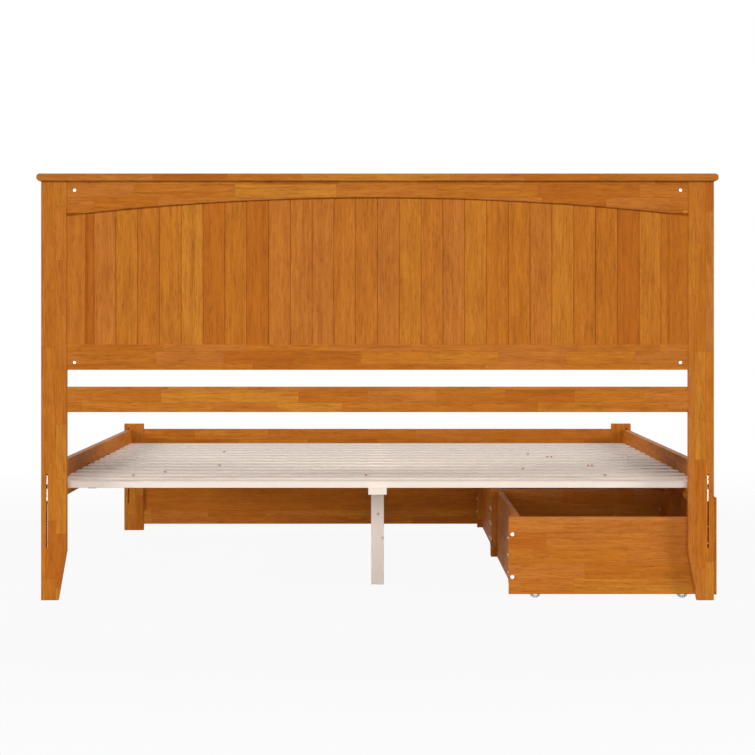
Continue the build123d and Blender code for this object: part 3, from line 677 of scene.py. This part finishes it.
@listed
class BED_OT_planks(bpy.types.Operator):
    """Finish the headboard's planks, each in its own tone, with stain and painted shade in the grooves
    between them and painted shade below the arched rail
    """

    bl_idname = "bed.planks"
    bl_label = "Headboard planks"

    def execute(self, context):
        # The seed is a whole number, so that two planks meet at the middle of the headboard.
        layout = ("Z", "X", context.scene.bed_finish.plank_pitch, 40.0)
        # The planks also get the painted shade line below the arched rail.
        planks = stained_rubberwood("stained_rubberwood_planks", *layout, whole=True, arched=True)
        finish_nodes(planks, ["headboard_planks"])
        return {"FINISHED"}


@listed
class BED_OT_pine(bpy.types.Operator):
    """Finish the slats, beam, legs, battens and dowels in bare pine, and the drawer bottoms in plywood"""

    bl_idname = "bed.pine"
    bl_label = "Pine and plywood"

    def execute(self, context):
        finish = context.scene.bed_finish
        slats = islands("slats")
        first, last = slats[0][0].y, slats[-1][0].y
        pitch = (last - first) / (len(slats) - 1)
        gap = pitch - (slats[0][1].y - first)
        start = (gap / 2 - first) / pitch
        top = slats[0][1].z
        knots = [(x * MM, y * MM, top) for x, y in SLAT_KNOTS]
        branch = (finish.branch_long, finish.branch_wide)
        finish_nodes(planed_pine("planed_pine_slats", "X", pitch, start, knots, branch), ["slats"])
        battens = [f"{drawer}_battens" for drawer in DRAWERS]
        finish_nodes(planed_pine("planed_pine_battens", "X", PINE_CELL, 0.7), [*battens, "glue_dowels"])
        finish_nodes(planed_pine("planed_pine_beam", "Y", PINE_CELL, 0.5), ["middle_beam"])
        legs = [f"{place}_support_leg" for place in ("head", "middle", "foot")]
        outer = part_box("head_support_leg")[1].y
        knots = [(x * MM, outer, z * MM) for x, z in LEG_KNOTS]
        pin = (finish.pin_knot, finish.pin_knot)
        finish_nodes(planed_pine("planed_pine_legs", "Z", PINE_CELL, 0.9, knots, pin), legs)
        finish_nodes(sanded_plywood("sanded_plywood"), [f"{drawer}_bottom" for drawer in DRAWERS])
        return {"FINISHED"}


@listed
class BED_OT_hooks(bpy.types.Operator):
    """Finish the rails' hook plates, their pins and the castors' housings and axles in zinc plate"""

    bl_idname = "bed.hooks"
    bl_label = "Hooks and housings"

    def execute(self, context):
        names = ["rail_hook_plates", "hook_pins"]
        for drawer in DRAWERS:
            names += [f"{drawer}_caster_housings", f"{drawer}_caster_axles"]
        finish_nodes(zinc_plate("zinc_plate"), names)
        return {"FINISHED"}


@listed
class BED_OT_bolts(bpy.types.Operator):
    """Model the bolts through the posts and the drawers' sides, with hexagon sockets"""

    bl_idname = "bed.bolts"
    bl_label = "Bolts"

    def execute(self, context):
        hardware = context.scene.bed_hardware
        key, depth, edge = hardware.key_size / math.sqrt(3), hardware.socket_depth, hardware.edge_round
        for node in ("post_bolts", *(f"{drawer}_bolts" for drawer in DRAWERS)):
            lowest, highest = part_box(node)
            bm = bmesh.new()
            for low, high in islands(node):
                axis = long_axis(low, high)
                outwards = 1 if (low + high)[axis] > (lowest + highest)[axis] else -1
                matrix, radius, long = seat(low, high, axis, outwards)
                neck, head_height = radius * PIN_NECK, radius * BOLT_HEAD
                shank = ((radius, -head_height), (neck, -head_height), (neck, -long))
                headed_pin(bm, matrix, "hexagon", key, depth, radius, edge, shank)
            zinc_piece(f"{node}_turned", bm, body_of(node), node)
        return {"FINISHED"}


@listed
class BED_OT_nuts(bpy.types.Operator):
    """Model the barrel nuts, whose ends show flush in the headboard's back, with cross recesses"""

    bl_idname = "bed.nuts"
    bl_label = "Barrel nuts"

    def execute(self, context):
        hardware = context.scene.bed_hardware
        recess, depth, edge = hardware.key_size / 2, hardware.socket_depth, hardware.edge_round
        bm = bmesh.new()
        for low, high in islands("barrel_nuts"):
            size = high - low
            radius = size.x / 2
            face = Vector(((low.x + high.x) / 2, high.y, (low.z + high.z) / 2))
            headed_pin(bm, aim(face, (0, 1, 0)), "cross", recess, depth, radius, edge, ((radius, -size.y),))
        zinc_piece("barrel_nuts_turned", bm, "frame", "barrel_nuts")
        return {"FINISHED"}


@listed
class BED_OT_screws(bpy.types.Operator):
    """Model the wood screws with cross recesses: countersunk in the frame, pan-headed in the drawers"""

    bl_idname = "bed.screws"
    bl_label = "Wood screws"

    def execute(self, context):
        hardware = context.scene.bed_hardware
        depth, pan = hardware.socket_depth, hardware.pan_height
        for node in ("frame_screws", *(f"{drawer}_screws" for drawer in DRAWERS)):
            countersunk = node == "frame_screws"
            edge = hardware.sunk_edge if countersunk else hardware.edge_round
            bm = bmesh.new()
            for low, high in islands(node):
                axis = long_axis(low, high)
                # Screws across the frame have their heads on the side towards the bed's middle.
                backwards = countersunk and axis == 0 and low.x + high.x > 0
                matrix, radius, long = seat(low, high, axis, -1 if backwards else 1)
                neck = radius * PIN_NECK
                under = [(radius, -pan), (neck, -pan)]
                if countersunk:
                    under = [(neck, -edge - COUNTERSINK * radius)]
                shank = [*under, (neck, -long + 2 * neck), (neck * SCREW_POINT, -long)]
                headed_pin(bm, matrix, "cross", radius * RECESS_MOUTH, depth, radius, edge, shank)
            zinc_piece(f"{node}_turned", bm, body_of(node), node)
        return {"FINISHED"}


@listed
class BED_OT_wheels(bpy.types.Operator):
    """Model the castor wheels: a rounded tread, a hollow web and a hub"""

    bl_idname = "bed.wheels"
    bl_label = "Castor wheels"

    def execute(self, context):
        hardware = context.scene.bed_hardware
        material = moulded_nylon("moulded_nylon")
        wheels = [name for name in frame["nodes"] if name.endswith("_wheel")]
        for node in sorted(wheels):
            low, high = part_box(node)
            centre, size = (low + high) / 2, high - low
            radius, half = size.x / 2, size.y / 2
            web = half - hardware.wheel_web
            hub, web_inner, web_outer, rim = (radius * share for share in WHEEL_RINGS)
            tread = radius * WHEEL_TREAD
            profile = [(hardware.axle_bore, half), (hub, half)]
            profile += [(web_inner, web), (web_outer, web), (rim, half)]
            for angle in (0, 30, 60, 90):
                out, up = tread * math.sin(math.radians(angle)), tread * math.cos(math.radians(angle))
                profile.append((radius - tread + out, half - tread + up))
            profile += [(reach, -height) for reach, height in reversed(profile)]
            bm = bmesh.new()
            verts = [bm.verts.new((reach, 0, height)) for reach, height in profile]
            edges = [bm.edges.new(pair) for pair in zip(verts, verts[1:] + verts[:1])]
            around = {"cent": (0, 0, 0), "axis": (0, 0, 1), "angle": 2 * math.pi, "steps": WHEEL_STEPS}
            bmesh.ops.spin(bm, geom=verts + edges, use_merge=True, **around)
            bmesh.ops.remove_doubles(bm, verts=bm.verts, dist=SAME_PLACE)
            bm.transform(aim(centre, (0, 1, 0)))
            new_piece(f"{node}_moulded", bm, body_of(node), "nylon", material, node)
        return {"FINISHED"}


@listed
class BED_OT_plate_screws(bpy.types.Operator):
    """Model the pan-headed screws that hold each castor's plate to its batten"""

    bl_idname = "bed.plate_screws"
    bl_label = "Castor plate screws"

    def execute(self, context):
        hardware = context.scene.bed_hardware
        radius, edge, depth = hardware.plate_screw, hardware.edge_round, hardware.plate_recess
        height = radius * PLATE_HEAD
        for drawer in DRAWERS:
            bm = bmesh.new()
            for low, high in islands(f"{drawer}_caster_housings"):
                centre = (low + high) / 2
                reach = (high.x - low.x) / 2 - radius - hardware.plate_margin
                face = high.z - hardware.plate_thickness - height
                for x in (centre.x - reach, centre.x + reach):
                    matrix = aim(Vector((x, centre.y, face)), (0, 0, -1))
                    shank = ((radius, -height),)
                    headed_pin(bm, matrix, "cross", radius * RECESS_MOUTH, depth, radius, edge, shank)
            zinc_piece(f"{drawer}_plate_screws", bm, drawer)
        return {"FINISHED"}


@listed
class BED_OT_straps(bpy.types.Operator):
    """Model the webbing straps that space the slats, and the staples that hold them"""

    bl_idname = "bed.straps"
    bl_label = "Webbing straps"

    def execute(self, context):
        hardware = context.scene.bed_hardware
        thick = hardware.strap_thickness
        crown = Vector((hardware.staple_width, hardware.staple_wire, hardware.staple_height))
        rounding = {"offset": hardware.staple_round, "segments": 2, "profile": 0.5, "material": -1}
        slats = sorted((low.y, high.y) for low, high in islands("slats"))
        straps, staples = bmesh.new(), bmesh.new()
        for low, high in islands("slat_straps"):
            size = Vector((high.x - low.x, high.y - low.y, thick))
            centre = Vector(((low.x + high.x) / 2, (low.y + high.y) / 2, high.z - thick / 2))
            edges = block(straps, centre, size)
            endways = [edge for edge in edges if edge.calc_length() > size.y / 2]
            cuts = len(slats) * STRAP_CUTS
            bmesh.ops.subdivide_edges(straps, edges=endways, cuts=cuts, use_grid_fill=True)
            for start, end in slats:
                spot = Vector((centre.x, (start + end) / 2, high.z - thick - crown.z / 2))
                bmesh.ops.bevel(staples, geom=block(staples, spot, crown), affect="EDGES", **rounding)
        # Between two slats a strap hangs in a parabola, lowest at the middle.
        for vert in straps.verts:
            for (_, before), (after, _) in zip(slats, slats[1:]):
                if before < vert.co.y < after:
                    part = (vert.co.y - before) / (after - before)
                    vert.co.z -= hardware.strap_sag * 4 * part * (1 - part)
        webbing = polyester_webbing("polyester_webbing")
        new_piece("slat_straps_woven", straps, "frame", "webbing", webbing, "slat_straps")
        zinc_piece("strap_staples", staples, "frame")
        return {"FINISHED"}


@listed
class BED_OT_stage(bpy.types.Operator):
    """Set the floor, the soft studio light and the camera"""

    bl_idname = "bed.stage"
    bl_label = "Stage"

    def execute(self, context):
        scene, stage = context.scene, context.scene.bed_stage
        self.make_floor(stage)
        self.make_sky(scene, stage)
        self.make_lamps(scene, stage)
        self.make_camera(scene, stage)
        scene.view_settings.view_transform = "Standard"
        return {"FINISHED"}

    def make_floor(self, stage):
        bm = bmesh.new()
        bmesh.ops.create_grid(bm, x_segments=1, y_segments=1, size=stage.floor_reach)
        floor = new_object("floor", bm, matt_studio_floor("matt_studio_floor"))

    def make_sky(self, scene, stage):
        world = bpy.data.worlds.new("studio")
        world.use_nodes = True
        tree = world.node_tree
        strength = add(tree, RANGE, {"Value": seen_directly(tree), "To Min": stage.sky, "To Max": 1.0})
        feed(tree, tree.nodes["Background"], {"Color": (1, 1, 1, 1), "Strength": strength})
        scene.world = world

    def make_lamps(self, scene, stage):
        # Each lamp shines as if from its place towards the origin.
        lamps = (
            ("right_lamp", stage.side, (3.38, 1.80, 1.17)),
            ("left_lamp", stage.side, (-3.38, 1.80, 1.17)),
            ("front_lamp", stage.front, (0.0, 3.98, 0.38)),
            ("back_lamp", stage.back, (0.0, -3.28, 2.29)),
        )
        for name, strength, place in lamps:
            lamp = bpy.data.lights.new(name, "SUN")
            lamp.energy = strength
            lamp.angle = stage.soft
            placed = bpy.data.objects.new(name, lamp)
            placed.location = place
            placed.rotation_euler = placed.location.to_track_quat("Z", "Y").to_euler()
            scene.collection.objects.link(placed)

    def make_camera(self, scene, stage):
        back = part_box("headboard_left_post")[1].y
        data = bpy.data.cameras.new("camera")
        data.lens = stage.lens
        data.shift_y = stage.shift
        camera = bpy.data.objects.new("camera", data)
        camera.location = (0, back + stage.camera_distance, stage.camera_height)
        camera.rotation_euler = (math.pi / 2, 0, math.pi)
        scene.collection.objects.link(camera)
        scene.camera = camera


@listed
class BED_PT_panel(bpy.types.Panel):
    """Lists the bed's sizes and colours, and its pieces in the order they are made"""

    bl_idname = "BED_PT_panel"
    bl_label = "Platform bed"
    bl_space_type = "VIEW_3D"
    bl_region_type = "UI"
    bl_category = "Bed"

    def draw(self, context):
        for name, group in GROUPS.items():
            for setting in group.__annotations__:
                self.layout.prop(getattr(context.scene, name), setting)
        for operator in operators():
            self.layout.operator(operator.bl_idname)


def register():
    for made in CLASSES:
        bpy.utils.register_class(made)
    for name, group in GROUPS.items():
        setattr(bpy.types.Scene, name, bpy.props.PointerProperty(type=group))


def unregister():
    for name in GROUPS:
        delattr(bpy.types.Scene, name)
    for made in reversed(CLASSES):
        bpy.utils.unregister_class(made)


def main():
    register()
    for operator in operators():
        group, call = operator.bl_idname.split(".")
        getattr(getattr(bpy.ops, group), call)()


if __name__ == "__main__":
    main()
